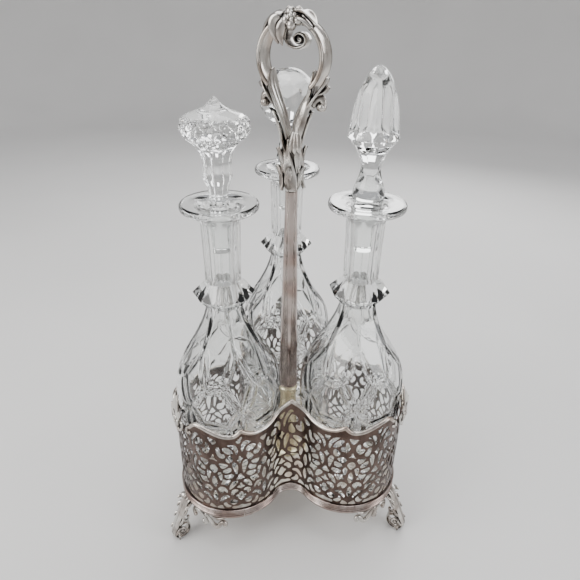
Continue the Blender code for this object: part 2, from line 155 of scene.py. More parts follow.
def tapered_leaf(half_width, start, end, thickness, curl, ribs=0.0, count=24):
    """Sections along a leaf from start to end, where 0 and 1 are its points."""

    def section(t):
        width = half_width * math.sin(math.pi * mix(start, end, t))
        return leaf_section(width, thickness, curl, ribs, count)

    return section


def tapered_rod(first, last, count=14, squash=1.0):
    """Sections along a rod whose radius goes from first to last."""
    return lambda t: ring_of(mix(first, last, t), count, squash)


def upright(points, sign=1):
    """(across, height) pairs as points in an upright plane, mirrored when sign is -1."""
    return [(sign * x, 0, z) for x, z in points]


def mirrored(points, sign, axis=0):
    """The points, turned over along one axis when sign is -1."""
    return [tuple(sign * c if i == axis else c for i, c in enumerate(p)) for p in points]


class Shape:
    """A mesh in the making, in millimetres."""

    def __init__(self):
        self.verts = []
        self.faces = []

    def skin(self, rings):
        """Quads between one closed ring of points and the next, with the end rings filled."""
        base = len(self.verts)
        count = len(rings[0])
        for ring in rings:
            self.verts.extend(Vector(p) for p in ring)
        for i in range(len(rings) - 1):
            for j in range(count):
                a = base + i * count + j
                b = base + i * count + (j + 1) % count
                self.faces.append((a, b, b + count, a + count))
        self.faces.append(tuple(range(base + count - 1, base - 1, -1)))
        last = base + (len(rings) - 1) * count
        self.faces.append(tuple(range(last, last + count)))
        return self

    def sweep(self, path, side, section):
        """section(t) gives (along side, across it) pairs. side is one vector, or one for each point."""
        path = [Vector(p) for p in path]
        rings = []
        for i, place in enumerate(path):
            along = (path[min(i + 1, len(path) - 1)] - path[max(i - 1, 0)]).normalized()
            s = Vector(side[i] if isinstance(side, list) else side)
            s = (s - along * s.dot(along)).normalized()
            up = s.cross(along)
            rings.append([place + s * a + up * b for a, b in section(i / (len(path) - 1))])
        return self.skin(rings)

    def ball(self, centre, radius, stretch=(1, 1, 1), rows=8, count=14):
        rings = []
        for i in range(1, rows):
            a = math.pi * i / rows
            ring = []
            for j in range(count):
                b = math.tau * j / count
                offset = (math.sin(a) * math.cos(b), math.sin(a) * math.sin(b), -math.cos(a))
                ring.append(Vector(centre) + Vector([radius * o * s for o,
                                                     s in zip(offset, stretch)]))
            rings.append(ring)
        return self.skin(rings)

    def turned(self, profile, count=64, cut=None):
        """A lathe form from (radius, height) pairs. cut(angle, radius, height) may lower a radius."""
        rings = []
        for radius, height in profile:
            ring = []
            for j in range(count):
                a = math.tau * j / count
                r = cut(a, radius, height) if cut else radius
                ring.append((r * math.cos(a), r * math.sin(a), height))
            rings.append(ring)
        return self.skin(rings)


def piece(name, shape, finish, body, nodes, place=WORLD, sharp=None):
    """The shape as a named object that rides on a body and stands for CAD nodes."""
    mesh = bpy.data.meshes.new(name)
    mesh.from_pydata([(place @ v) * MM for v in shape.verts], [], shape.faces)
    return dressed(name, mesh, finish, body, nodes, sharp)


def dressed(name, mesh, finish, body, nodes, sharp=None):
    tidy = bmesh.new()
    tidy.from_mesh(mesh)
    bmesh.ops.recalc_face_normals(tidy, faces=tidy.faces)
    tidy.to_mesh(mesh)
    tidy.free()
    mesh.shade_smooth()
    if sharp:
        mesh.set_sharp_from_angle(angle=math.radians(sharp))
    mesh.materials.append(finish)
    obj = bpy.data.objects.new(name, mesh)
    bpy.context.scene.collection.objects.link(obj)
    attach(obj, body)
    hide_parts(*nodes)
    return obj


# ---- materials


class Nodes:
    """Short names for adding and joining shader nodes."""

    def __init__(self, name):
        self.material = bpy.data.materials.new(name)
        self.material.use_nodes = True
        self.tree = self.material.node_tree
        self.shader = self.tree.nodes["Principled BSDF"]

    def add(self, kind, **settings):
        node = self.tree.nodes.new(kind)
        for key, value in settings.items():
            setattr(node, key, value)
        return node

    def join(self, source, target):
        self.tree.links.new(source, target)

    def noise(self, scale, detail=4.0, stretch=(1, 1, 1)):
        place = self.add("ShaderNodeTexCoord")
        mapping = self.add("ShaderNodeMapping")
        mapping.inputs["Scale"].default_value = stretch
        noise = self.add("ShaderNodeTexNoise")
        noise.inputs["Scale"].default_value = scale
        noise.inputs["Detail"].default_value = detail
        self.join(place.outputs["Object"], mapping.inputs["Vector"])
        self.join(mapping.outputs["Vector"], noise.inputs["Vector"])
        return noise.outputs["Fac"]

    def ramp(self, source, stops):
        ramp = self.add("ShaderNodeValToRGB")
        elements = ramp.color_ramp.elements
        while len(elements) < len(stops):
            elements.new(0.5)
        for element, (position, colour) in zip(elements, stops):
            element.position = position
            element.color = (*colour, 1)
        self.join(source, ramp.inputs["Fac"])
        return ramp.outputs["Color"]

    def mixed(self, factor, a, b, blend="MIX"):
        node = self.add("ShaderNodeMix", data_type="RGBA", blend_type=blend)
        for source, socket in ((factor, node.inputs[0]), (a, node.inputs[6]), (b, node.inputs[7])):
            if isinstance(source, (int, float)):
                socket.default_value = source
            elif isinstance(source, tuple):
                socket.default_value = (*source, 1)
            else:
                self.join(source, socket)
        return node.outputs[2]

    def ranged(self, source, low, high):
        node = self.add("ShaderNodeMapRange")
        node.inputs["To Min"].default_value = low
        node.inputs["To Max"].default_value = high
        self.join(source, node.inputs["Value"])
        return node.outputs["Result"]

    def bump(self, source, strength, distance):
        node = self.add("ShaderNodeBump")
        node.inputs["Strength"].default_value = strength
        node.inputs["Distance"].default_value = distance
        self.join(source, node.inputs["Height"])
        self.join(node.outputs["Normal"], self.shader.inputs["Normal"])


def plated(name, bright, worn, tarnish_and_shade_colour, rough=(0.16, 0.34), shade_and_tarnish_reach=0.0035):
    """Old silver plate: bright where open, copper in patches, tarnish in streaks, and the hollows and
    joins darkened, partly with tarnish and partly with painted shade.

    The last argument is how wide a crevice, in metres, still gets that tarnish and painted shade.
    """
    made = Nodes(name)
    made.shader.inputs["Metallic"].default_value = 1.0
    patches = made.ramp(made.noise(55, 5), [(0.42, (0, 0, 0)), (0.62, (1, 1, 1))])
    colour = made.mixed(patches, bright, worn)
    streaks = made.ramp(made.noise(160, 6, (1, 1, 0.35)), [(0.46, (0, 0, 0)), (0.7, (1, 1, 1))])
    colour = made.mixed(made.ranged(streaks, 0.0, 0.6), colour, tarnish_and_shade_colour)
    if shade_and_tarnish_reach:
        # Painted shade: ambient occlusion darkens crevices and the joins between parts towards a deeper
        # tarnish colour, partly real tarnish and partly shade.
        occluded_tarnish_and_shade = made.add("ShaderNodeAmbientOcclusion", samples=6)
        occluded_tarnish_and_shade.inputs["Distance"].default_value = shade_and_tarnish_reach
        deep = made.ramp(occluded_tarnish_and_shade.outputs["AO"],
                         [(0.25, (1, 1, 1)), (0.55, (0.55, 0.55, 0.55)), (0.92, (0, 0, 0))])
        colour = made.mixed(deep, colour, tuple(c * 0.4 for c in tarnish_and_shade_colour))
    made.join(colour, made.shader.inputs["Base Color"])
    made.join(made.ranged(made.noise(90, 6), *rough), made.shader.inputs["Roughness"])
    made.bump(made.noise(900, 3, (1, 1, 0.2)), 0.12, 0.0001)
    return made.material


def crystal(name, colour, index):
    """Clear lead glass, with the faint waviness of hand polishing. Lamps shine straight through it."""
    made = Nodes(name)
    made.shader.inputs["Base Color"].default_value = (*colour, 1)
    made.shader.inputs["Transmission Weight"].default_value = 1.0
    made.shader.inputs["IOR"].default_value = index
    made.join(made.ranged(made.noise(300, 2), 0.0, 0.02), made.shader.inputs["Roughness"])
    made.bump(made.noise(130, 1), 0.08, 0.0002)
    clear = made.add("ShaderNodeBsdfTransparent")
    clear.inputs["Color"].default_value = (0.96, 0.97, 0.965, 1)
    rays = made.add("ShaderNodeLightPath")
    either = made.add("ShaderNodeMixShader")
    output = made.tree.nodes["Material Output"]
    made.join(rays.outputs["Is Shadow Ray"], either.inputs["Fac"])
    made.join(made.shader.outputs["BSDF"], either.inputs[1])
    made.join(clear.outputs["BSDF"], either.inputs[2])
    made.join(either.outputs["Shader"], output.inputs["Surface"])
    return made.material


SHEET = plated("gallery_silver_plate", (0.125, 0.088, 0.074), (0.075, 0.05, 0.04),
               (0.03, 0.021, 0.018), (0.2, 0.38), None)
# The moulded and cast finishes darken their hollows and joins with tarnish and painted shade.
MOULDED = plated("moulded_silver_plate", (0.72, 0.68, 0.63), (0.48, 0.40, 0.34), (0.13, 0.10, 0.08),
                 (0.14, 0.3), 0.003)
CAST = plated("cast_silver_plate", (0.72, 0.70, 0.66), (0.46, 0.41, 0.37), (0.10, 0.08, 0.07),
              (0.14, 0.3), 0.005)
TUBE = plated("column_silver_plate", (0.46, 0.40, 0.37), (0.32, 0.24, 0.21), (0.13, 0.10, 0.09),
              (0.08, 0.22), None)
BRASS = plated("brass_collar", (0.86, 0.79, 0.58), (0.74, 0.65, 0.44), (0.42, 0.33, 0.19),
               (0.2, 0.36), None)
FLOOR_PLATE = plated("base_silver_plate", (0.78, 0.75, 0.70), (0.62, 0.53, 0.46), (0.3, 0.23, 0.2),
                     (0.4, 0.6), None)
STEEL = plated("steel_fastening", (0.42, 0.42, 0.43), (0.34, 0.31, 0.29), (0.12, 0.1, 0.09),
               (0.35, 0.55), None)
GLASS = crystal("cut_lead_glass", (0.985, 0.995, 0.99), 1.54)


# ---- the trefoil's outline

TO_VALLEY = Vector((LOBE_PITCH - VALLEY_CENTRE * 0.5, -VALLEY_CENTRE * math.sin(math.pi / 3)))
VALLEY_RADIUS = TO_VALLEY.length - LOBE_RADIUS
VALLEY_START = math.atan2(TO_VALLEY.y, TO_VALLEY.x)
LOBE_LENGTH = LOBE_RADIUS * (VALLEY_START + math.pi)
HALF_LENGTH = LOBE_LENGTH + VALLEY_RADIUS * (VALLEY_START + math.tau / 3)


def wall_point(s, offset=0.0):
    """Plan position from a lobe's frame, at length s along the wall from the lobe's outermost line."""
    turns = round(s / (2 * HALF_LENGTH))
    s -= turns * 2 * HALF_LENGTH
    side = -1 if s < 0 else 1
    s = abs(s)
    if s <= LOBE_LENGTH:
        angle = s / LOBE_RADIUS
        reach = LOBE_RADIUS + offset
        place = Vector((LOBE_PITCH + reach * math.cos(angle), side * reach * math.sin(angle)))
    else:
        angle = VALLEY_START - (s - LOBE_LENGTH) / VALLEY_RADIUS
        reach = VALLEY_RADIUS - offset
        y = VALLEY_CENTRE * math.sin(math.pi / 3) + reach * math.sin(angle)
        place = Vector((VALLEY_CENTRE * 0.5 + reach * math.cos(angle), side * y))
    return Matrix.Rotation(turns * math.tau / 3, 2) @ place


def valley_point(s, offset=0.0):
    """The same from a valley's frame, with s counted from the middle of the valley."""
    return Matrix.Rotation(math.pi / 3, 2) @ wall_point(s - HALF_LENGTH, offset)


def outward(point_on, s):
    return (point_on(s, 0.5) - point_on(s, -0.5)).normalized().to_3d()


def rim_height(s):
    """The wall's edge at length s from a valley's middle: a peak, a bowl, a cusp, then a crest."""
    a = abs(s)
    if a < 32:
        return 137.5 + 12.5 * (1 - a / 32) ** 2.1
    if a < 50.5:
        return 137.5 + 6.7 * ((a - 32) / 18.5) ** 2.4
    if a < 59:
        return 138.6 + 5.6 * (1 - (a - 50.5) / 8.5) ** 2
    if a < 88:
        return 138.6 + 8 * (0.5 - 0.5 * math.cos(math.pi * (a - 59) / 29))
    if a < 98:
        return 139 + 7.6 * (0.5 + 0.5 * math.cos(math.pi * (a - 88) / 10))
    return 139


# ---- pierced gallery

# One repeat of the scrollwork, as the holes sawn out of it. A hole is a list of (along, height) points;
# along is counted from a line of symmetry, and the next one, a stem, is half a repeat away.
SCROLLS = [
    [(9.8, 129.6), (6.0, 130.0), (3.2, 127.4), (1.6, 122.6), (2.3, 118.8), (3.0, 120.6),
     (4.2, 124.2), (6.8, 127.0)],
    [(13.9, 125.2), (11.4, 126.9), (7.8, 125.4), (5.7, 121.8), (6.6, 120.2), (9.8, 120.6),
     (12.6, 122.6)],
    [(17.4, 125.8), (19.2, 122.6), (18.8, 118.8), (16.5, 115.6), (13.6, 115.6), (12.2, 117.8),
     (13.0, 119.6), (15.0, 119.6), (16.2, 121.4), (16.2, 124.0)],
    [(8.2, 118.6), (6.4, 117.0), (6.6, 113.2), (8.6, 110.9), (10.9, 112.2), (11.2, 114.6),
     (9.8, 116.8)],
    [(4.6, 111.2), (2.3, 107.6), (2.2, 102.6), (3.2, 98.2), (4.7, 102.6), (6.3, 107.6), (6.0, 110.2)],
    [(17.3, 109.2), (13.6, 109.8), (10.2, 108.8), (11.6, 106.4), (14.8, 104.4), (16.4, 106.4)],
    [(13.9, 102.4), (11.4, 104.4), (8.2, 105.6), (7.6, 103.0), (8.6, 100.8), (13.2, 99.8)],
    [(13.2, 97.2), (10.2, 98.0), (6.6, 98.6), (5.6, 96.4), (7.8, 93.8), (10.6, 93.2), (12.6, 94.6)],
    [(14.6, 92.4), (12.0, 91.6), (8.4, 91.6), (9.6, 88.6), (11.6, 85.2), (13.4, 86.4), (16.4, 86.4),
     (15.2, 89.4)],
    [(2.8, 89.4), (5.0, 90.0), (6.8, 89.2), (8.6, 85.6), (9.6, 80.2), (6.6, 82.8), (3.6, 86.6)],
    [(2.8, 79.2), (5.4, 80.2), (7.8, 78.2), (8.2, 74.4), (6.6, 73.2), (5.2, 75.6), (3.0, 77.4)],
    [(19.4, 80.4), (17.4, 83.0), (14.2, 83.0), (12.0, 79.8), (12.2, 76.4), (14.6, 78.8),
     (16.4, 75.6), (18.4, 77.4)],
    [(18.6, 64.2), (17.2, 69.6), (14.2, 72.8), (10.8, 72.2), (10.2, 70.4), (13.8, 69.0),
     (16.6, 65.8)],
    [(9.6, 65.8), (8.0, 67.6), (5.0, 67.2), (3.4, 64.8), (4.6, 62.2), (7.0, 61.0), (9.2, 63.2)],
    [(13.8, 65.2), (15.2, 62.6), (14.8, 59.6), (12.2, 57.6), (9.2, 59.0), (10.6, 60.6), (12.4, 62.0)],
    [(18.7, 99.0), (16.3, 100.2), (15.5, 96.0), (16.5, 91.4), (17.9, 94.6)],
    [(21.1, 57.6), (17.4, 60.2), (16.4, 58.2), (15.6, 55.9), (21.1, 55.9)],
]
ON_SYMMETRY = [  # half of each hole that the line of symmetry passes through
    [(0, 127.6), (2.4, 131.8), (0, 131.9)],
    [(0, 115.8), (0.8, 113.6), (2.4, 112.6), (0.9, 111.2), (0, 108.6)],
    [(0, 98.0), (2.0, 95.0), (3.4, 92.6), (0, 91.6)],
    [(0, 87.6), (1.2, 84.6), (3.4, 82.4), (1.4, 81.6), (0, 80.8)],
    [(0, 76.8), (2.2, 73.6), (4.0, 71.8), (2.2, 69.0), (0, 66.2)],
    [(0, 60.4), (3.0, 59.0), (7.4, 58.8), (7.6, 55.9), (0, 55.9)],
]
ON_STEM = [
    [(0, 126.4), (3.4, 130.8), (0, 131.2)],
    [(0, 117.2), (1.0, 113.6), (3.2, 111.4), (0, 112.0)],
    [(0, 107.6), (2.6, 105.0), (3.0, 102.4), (0, 98.8)],
    [(0, 95.6), (1.5, 92), (2.1, 88.6), (1.4, 85), (0, 82.4)],
    [(0, 78.2), (1.3, 75), (1.8, 71.6), (1.3, 68.4), (0, 65.4)],
]
REPEATS = 15  # right round the trefoil
PATTERN_START = -8.0  # a line of symmetry, from the middle of the front valley
PATTERN_BEND = 96.0  # above this height the pattern follows the rim
PATTERN_TOP = 132.0
RIM_MARGIN = 4.6  # plain metal between the highest holes and the sheet's edge
DRAWN_STEM = 22.1  # where the drawing's stem is


def both_halves(half):
    return half + [(-x, z) for x, z in reversed(half) if x > 0]


def under_rim(s, height):
    """The pattern's upper part is stretched, so that its top keeps one distance from the wavy rim."""
    if height < PATTERN_BEND:
        return height
    stretch = (rim_height(s) - RIM_MARGIN - PATTERN_BEND) / (PATTERN_TOP - PATTERN_BEND)
    return PATTERN_BEND + (height - PATTERN_BEND) * stretch


def pattern_holes(end):
    """Every hole that is at least partly on a panel of this half length."""
    pitch = 6 * HALF_LENGTH / REPEATS
    stem = pitch / 2
    motif = [both_halves(h) for h in ON_SYMMETRY]
    motif += [[(x + stem, z) for x, z in both_halves(h)] for h in ON_STEM]
    squeeze = stem / DRAWN_STEM
    for hole in SCROLLS:
        motif += [[(x * squeeze, z) for x, z in hole], [(-x * squeeze, z) for x, z in hole]]
    found = []
    for i in range(-4, 5):
        line = PATTERN_START + i * pitch
        for hole in motif:
            outline = grown(smooth([(line + x, z) for x, z in hole], 3, closed=True), SAW_CUT)
            if min(abs(x) for x, _ in outline) < end:
                found.append([(x, under_rim(x, z)) for x, z in outline])
    return found


def grown(outline, by):
    """A closed outline, turned anticlockwise and moved outwards by this much."""
    places = [Vector(p) for p in outline]
    if sum(a.cross(b) for a, b in zip(places, places[1:] + places[:1])) < 0:
        places.reverse()
    found = []
    for i, place in enumerate(places):
        along = (places[(i + 1) % len(places)] - places[i - 1]).normalized()
        found.append(place + Vector((along.y, -along.x)) * by)
    return found


def gallery_mesh():
    """A flat pierced sheet, cut across every few millimetres and wrapped round the trefoil."""
    end = HALF_LENGTH - SOLDER / 2
    count = 150
    bends = [mix(-end, end, i / count) for i in range(count + 1)]
    edge = [(s, GALLERY_FOOT) for s in bends] + [(s, rim_height(s)) for s in reversed(bends)]
    bars = []
    for low, high in ((-end, SEAM_BAR - end), (end - SEAM_BAR, end)):
        bars.append([(low, GALLERY_FOOT), (high, GALLERY_FOOT), (high, rim_height(end)),
                     (low, rim_height(end))])
    points = []
    loops = []
    for outline in [edge, *bars, *pattern_holes(end)]:
        loops.append(list(range(len(points), len(points) + len(outline))))
        points += [Vector(p) for p in outline]
    places, _, triangles, _, _, owners = delaunay_2d_cdt(points, [], loops, 1, 0.001)
    sheet = bmesh.new()
    corners = [sheet.verts.new((*p, SHEET_THICKNESS / 2)) for p in places]
    for triangle, owner in zip(triangles, owners):
        if owner == [0] or (0 in owner and (1 in owner or 2 in owner)):
            sheet.faces.new([corners[i] for i in triangle])
    bmesh.ops.delete(sheet, geom=[v for v in sheet.verts if not v.link_faces], context="VERTS")
    raised = bmesh.ops.extrude_face_region(sheet, geom=sheet.faces[:])["geom"]
    back = [v for v in raised if isinstance(v, bmesh.types.BMVert)]
    bmesh.ops.translate(sheet, vec=(0, 0, -SHEET_THICKNESS), verts=back)
    for s in bends[2:-2:2]:
        everything = [*sheet.verts, *sheet.edges, *sheet.faces]
        bmesh.ops.bisect_plane(sheet, geom=everything, plane_co=(s, 0, 0),
                               plane_no=(1, 0, 0), dist=0.0001)
    for vert in sheet.verts:
        s, height, depth = vert.co
        x, y = valley_point(s, depth - WALL / 2)
        vert.co = (x, y, height)
    mesh = bpy.data.meshes.new("pierced_gallery")
    sheet.to_mesh(mesh)
    sheet.free()
    return mesh


def gallery():
    master = gallery_mesh()
    for name, place in VALLEYS.items():
        mesh = master.copy()
        mesh.transform(Matrix.Scale(MM, 4) @ place)
        dressed(f"pierced_gallery_{name}", mesh, SHEET, "stand",
                [f"gallery_{name}"], sharp=40)


def reeded(radius, count=20):
    """A round moulding with a groove along its outer side."""
    found = []
    for i in range(count):
        a = math.tau * i / count
        groove = 0.4 * math.exp(-((math.remainder(a - math.radians(-25), math.tau) / 0.3) ** 2))
        found.append((radius * (1 - groove) * math.cos(a), radius * (1 - groove) * math.sin(a)))
    return found


def rims():
    """A reeded wire on the gallery's wavy edge, hooked over at its ends."""
    end = 97.0
    lengths = [mix(-end, end, i / 160) for i in range(161)]
    path = [(*valley_point(s, -WALL / 2), rim_height(s) + 1.6) for s in lengths]
    sides = [outward(valley_point, s) for s in lengths]
    for name, place in VALLEYS.items():
        shape = Shape().sweep(path, sides, lambda t: reeded(1.75))
        for sign in (-1, 1):
            hook = smooth([(97, 140.6), (98.6, 138.2), (98.3, 135.8), (96.2, 135.0),
                           (94.9, 136.6)], 5)
            curl = [(*valley_point(sign * s, -WALL / 2 + 0.3), z) for s, z in hook]
            out = [outward(valley_point, sign * s) for s, z in hook]
            shape.sweep(curl, out, tapered_rod(1.7, 1.0))
            shape.ball(curl[-1], 1.5)
        piece(f"rim_moulding_{name}", shape, MOULDED, "stand", [f"rim_{name}"], place)


def base_bands():
    """Moulded strips: a bead above a hollow, then two reeds and a bold round at the foot."""
    ridges = [(0.0, 3.4, 1.6), (3.4, 5.2, 1.3), (5.2, 7.0, 1.25), (7.0, 9.5, 1.6)]
    section = [(0.0, 0.0), (0.6, 0.0)]
    for low, high, reach in ridges:
        for i in range(7):
            a = math.pi * i / 6
            height = mix(low, high, 0.5 - 0.46 * math.cos(a))
            section.append((mix(0.35, reach, math.sin(a) ** 0.7), height * BAND_HEIGHT / 9.5))
    section += [(0.6, BAND_HEIGHT), (0.0, BAND_HEIGHT)]
    spans = {"foot": (-46.0, 60.0), "valley": (60.0, 2 * HALF_LENGTH - 46.0)}
    for side, place in LOBES.items():
        for kind, (start, end) in spans.items():
            lengths = [mix(start + SOLDER / 2, end - SOLDER / 2, i / 90) for i in range(91)]
            path = [(*wall_point(s), BAND_BOTTOM) for s in lengths]
            sides = [outward(wall_point, s) for s in lengths]
            shape = Shape().sweep(path, sides, lambda t: section)
            name = f"{kind}_{side}"
            piece(f"band_moulding_{name}", shape, TUBE, "stand",
                  [f"base_band_{name}"], place, 50)


# ---- cast ornaments and feet


def casting(name, shape, node, place=HANDLE):
    """The shape as a piece of the stand in cast silver plate."""
    piece(name, shape, CAST, "stand", [node], place)


BLOSSOM_HEIGHT = 140.5
BERRIES = [(0, 134.2, 1.9), (-2.4, 132.4, 1.5), (2.4, 132.6, 1.5), (0, 130.2, 1.5), (0, 127.6, 1.1)]
SIDE_SCROLL = [(2, 131), (6, 134), (9.5, 139), (9.8, 143), (7, 143.4), (6.6, 140.6)]


def side_ornaments():
    """A leaf that curls outwards over a blossom and a string of berries."""
    face = LOBE_PITCH + LOBE_RADIUS + SOLDER
    for side, place in LOBES.items():
        shape = Shape()
        spine = smooth([(face + 1.4, 0, 144), (face + 1.0, 0, 152), (face - 0.2, 0, 160),
                        (face - 1.6, 0, 164.6)], 6)
        shape.sweep(spine, (0, 1, 0), tapered_leaf(5.4, 0.3, 0.97, 0.9, 0.22, 0.12))
        for sign in (-1, 1):
            lobe = smooth([(face + 1.6, sign * 1.5, 142), (face + 1.9, sign * 5, 148),
                           (face + 1.4, sign * 7.6, 154)], 6)
            shape.sweep(lobe, (0, 0.8, -0.6 * sign), tapered_leaf(3.0, 0.25, 0.95, 0.8, 0.2))
            scroll = smooth([(face + 0.9, sign * y, z) for y, z in SIDE_SCROLL], 5)
            shape.sweep(scroll, (1, 0, 0), tapered_rod(1.5, 0.7))
        for i in range(6):
            a = math.tau * i / 6 + 0.3
            petal = (face + 1.9, 3.0 * math.cos(a), BLOSSOM_HEIGHT + 3.0 * math.sin(a))
            shape.ball(petal, 2.1, (0.8, 1, 1))
        shape.ball((face + 3.0, 0, BLOSSOM_HEIGHT), 1.5)
        for y, z, radius in BERRIES:
            shape.ball((face + 1.2, y, z), radius)
        casting(f"leaf_and_berries_{side}", shape, f"side_ornament_{side}", place)


FOOT_SCROLL = [
    (105.5, 46.6), (109.6, 43.6), (113.6, 36.5), (117.6, 27.5), (121.4, 18.5), (124.6, 10.4),
    (124.9, 5.2), (121.8, 1.6), (116.6, 0.9), (112.2, 3.6), (110.2, 8.8), (111.6, 14.4),
    (115.8, 16.8), (119.4, 14.6), (119.6, 10.6), (116.8, 9.4),
]
FOOT_LEAVES = ((3, 1.15), (9, 1.0), (15, 0.9), (22, 0.8), (32, 0.6))  # step down the leg, and size
FRONT_FOOT_TURN = math.pi / 6  # between a front foot and the stand's long side


def scroll_feet():
    """A leafy leg, hollow-fluted down its front, that rolls up into an open scroll."""
    for side, place in LOBES.items():
        shape = Shape()
        path = [Vector((x, 0, z)) for x, z in smooth(FOOT_SCROLL, 5)]

        def leg(t):
            half_width = mix(5.2, 3.9, ease(t * 1.6))
            depth = mix(2.4, 1.0, ease(t * 1.3))
            found = []
            for i in range(36):
                a = math.tau * i / 36
                across = half_width * math.copysign(abs(math.cos(a)) ** 0.6, math.cos(a))
                flute = 0.5 + 0.5 * math.cos(across / half_width * 2.5 * math.pi)
                found.append((across, math.sin(a) * depth * (1 - 0.65 * flute)))
            return found

        shape.sweep(path, (0, 1, 0), leg)
        for sign in (-1, 1):
            for i, size in FOOT_LEAVES:
                root = path[i]
                along = (path[i + 1] - path[i]).normalized()
                out = Vector((-along.z, 0, along.x)) * -1
                sideways = Vector((0, sign, 0))
                line = [
                    root + sideways * 2.2 + out * 1.2,
                    root + sideways * 4.6 * size + along * 1.6 + out * 1.9,
                    root + sideways * 6.9 * size + along * 4.4 * size + out * 1.0,
                    root + sideways * 7.2 * size + along * 7.4 * size - out * 0.8,
                ]
                shape.sweep(smooth(line, 5), along,
                            tapered_leaf(2.7 * size, 0.2, 0.95, 1.0, 0.2, 0.1, 16))
            vein = smooth(mirrored([(110, 4.2, 41), (114.4, 4.6, 33), (116.4, 4.6, 26.5),
                                    (114.6, 4.6, 22), (111.6, 4.6, 22.6),
                                    (111.4, 4.6, 26)], sign, 1), 6)
            shape.sweep(vein, (0, 1, 0), tapered_rod(1.7, 1.0, 12, 0.8))
            shape.ball(vein[-1], 1.5)
            curl = smooth(mirrored([(122.6, 3.4, 9.5), (120.4, 4.0, 13.4), (116.6, 4.2, 12.8),
                                    (115.4, 4.2, 9.4), (117.4, 4.2, 7.4)], sign, 1), 6)
            shape.sweep(curl, (0, 1, 0), tapered_rod(1.3, 0.9, 10))
            shape.ball((118.4, sign * 3.2, 9.6), 2.0)
        for vert in shape.verts:
            vert.z = max(vert.z, 0.0)
            slanted = (SIDE_REACH - abs(vert.y) * math.sin(FRONT_FOOT_TURN)) / math.cos(FRONT_FOOT_TURN)
            vert.x = min(vert.x, FOOT_REACH, slanted)
        casting(f"scroll_foot_{side}", shape, f"foot_{side}", place)


SCROLL_INSET = -1.0  # from the wall's outer face
SCROLL_BEADS = ((21.4, 31.2, 2.1), (42.4, 33.4, 2.3), (25.0, 42.0, 2.6), (9.6, 30.4, 1.9),
                (33.4, 30.2, 2.0))


def foot_scrolls():
    """Linked C-scrolls that hang under the band on both sides of each foot."""
    arch = [(8.6, 30.5), (8.2, 35.5), (10.8, 40.2), (15.4, 42.2), (20.2, 40.6), (23.4, 36.2),
            (24.2, 31.2), (22.2, 29.0), (20.8, 31.0)]
    hook = [(24.4, 44.5), (26.8, 39.0), (29.6, 33.6), (33.2, 29.6), (36.4, 30.6), (38.2, 34.6),
            (41.0, 36.8), (43.2, 34.8), (42.2, 32.6)]
    web = [(26.0, 44.8), (31.0, 41.4), (36.0, 40.4), (40.6, 42.0), (44.0, 44.8)]
    for side, place in LOBES.items():
        for hand, sign in (("fore", 1), ("aft", -1)):
            shape = Shape()
            for route, thick in ((arch, 1.9), (hook, 1.8), (web, 1.3)):
                line = smooth(route, 6)
                path = [(*wall_point(sign * s, SCROLL_INSET), z) for s, z in line]
                sides = [outward(wall_point, sign * s) for s, z in line]

                def rod(t):
                    return ring_of(thick * (0.62 + 0.6 * math.sin(math.pi * mix(0.12, 0.88, t))), 14)

                shape.sweep(path, sides, rod)
            for s, z, radius in SCROLL_BEADS:
                shape.ball((*wall_point(sign * s, SCROLL_INSET), z), radius)
            name = f"{side}_{hand}"
            casting(f"c_scrolls_{name}", shape, f"foot_scroll_{name}", place)


# ---- column and handle


ROD_HOLE = 2.9  # radius of the bore through the column


def column():
    low, high = box_mm("column_tube")
    foot, top = low.z, high.z
    outside = [(8.0, foot), (8.9, foot + 0.4), (9.1, foot + 1.4), (8.6, foot + 2.8), (8.5, foot + 8),
               (8.2, foot + 24), (7.3, foot + 60), (6.2, foot + 112), (5.2, foot + 155), (4.8, top)]
    profile = [(ROD_HOLE, foot)] + [tuple(p) for p in smooth(outside, 4)] + [(ROD_HOLE, top)]
    shape = Shape().turned(profile, 72)
    piece("tapered_column", shape, TUBE, "stand", ["column_tube"], WORLD, 45)
    low, high = box_mm("column_socket")
    foot, top = low.z, high.z
    outside = [(15, foot), (15.2, foot + 1), (14.4, foot + 2.4), (11.6, foot + 3.4),
               (11.8, foot + 5), (10.6, foot + 6.2), (9.6, foot + 18), (8.4, foot + 44),
               (7.8, foot + 66), (7.9, foot + 74), (8.6, foot + 76), (8.6, foot + 78),
               (7.7, foot + 79.2), (7.6, top)]
    profile = [(ROD_HOLE, foot)] + [tuple(p) for p in smooth(outside, 3)] + [(ROD_HOLE, top)]
    piece("brass_collar", Shape().turned(profile, 72), BRASS, "stand",
          ["column_socket"], WORLD, 45)


LOOP_CENTRE = 407.4
LOOP_MID = 23.3  # radius of its middle line
LOOP_END = math.radians(48)  # below the level of its centre
LOOP_HALF_WIDTH = 8.4


def loop_point(angle, reach=0.0, depth=0.0):
    """A point on the handle's loop, from the handle's own frame."""
    radius = LOOP_MID + reach
    return Vector((radius * math.cos(angle), depth, LOOP_CENTRE + radius * math.sin(angle)))


def handle_loop():
    angles = [mix(-LOOP_END, math.pi + LOOP_END, i / 96) for i in range(97)]
    rings = []
    for a in angles:
        out = Vector((math.cos(a), 0, math.sin(a)))
        ring = []
        for depth, thick in OUTLINE_OF_STRAP:
            ring.append(loop_point(a) + out * thick + Vector((0, depth * LOOP_HALF_WIDTH, 0)))
        rings.append(ring)
    piece("ring_handle", Shape().skin(rings), MOULDED, "stand", ["handle_loop"], HANDLE)


def strap_outline():
    """The loop's section: (depth as a share of half its width, offset from its middle line)."""
    outer = [(-1.0, 0.0), (-0.98, 0.9), (-0.91, 1.35), (-0.85, 0.95), (-0.79, 1.3), (-0.7, 1.0),
             (-0.55, 0.55), (-0.25, 0.4)]
    outer += [(0.0, 0.4)] + [(-d, t) for d, t in reversed(outer[:-1])] + [(1.0, 0.0)]
    inner = [(d, -t) for d, t in reversed(outer[1:-1])]
    return outer + inner


OUTLINE_OF_STRAP = strap_outline()


